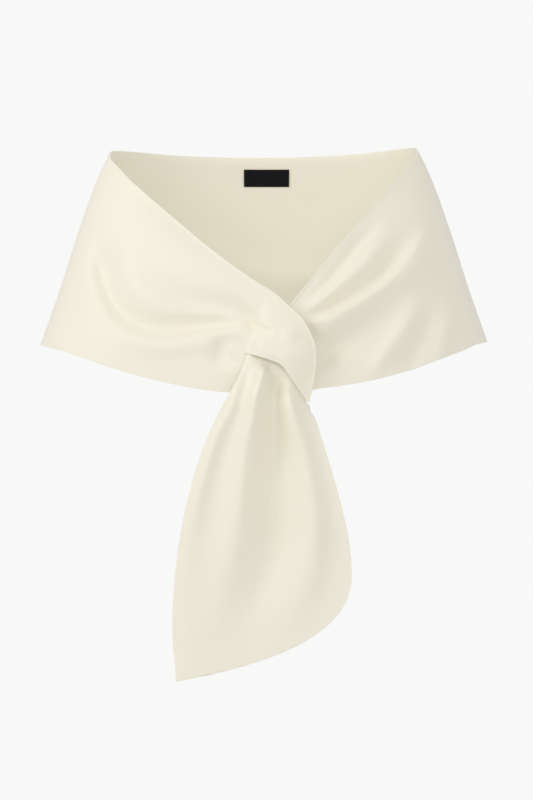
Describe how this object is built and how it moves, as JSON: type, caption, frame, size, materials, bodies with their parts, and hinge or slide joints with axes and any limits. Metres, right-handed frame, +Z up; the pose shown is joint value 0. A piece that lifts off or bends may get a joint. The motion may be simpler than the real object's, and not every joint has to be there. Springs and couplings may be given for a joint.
{
  "type": "evening stole worn round the shoulders",
  "caption": "Ivory satin evening stole, filled out as worn, with one end drawn through a slot in the other to form a knot and a hanging tail.",
  "frame": {"origin": "midway between the shoulders, level with the sides of the top edge, where the wearer's shoulders hold it up", "axes": "+Z up, +X to the viewer's right with the knot and tail towards the viewer, +Y from the front to the back"},
  "size_m": [0.4982, 0.3009, 0.5856],
  "materials": {
    "satin": "soft sheen",
    "label": "matt weave"
  },
  "bodies": {
    "root": {"front_left": "satin", "loop_band": "satin", "loop_tongue": "satin", "back": "satin", "front_right": "satin", "tail": "satin", "label": "label"}
  },
  "joints": []
}
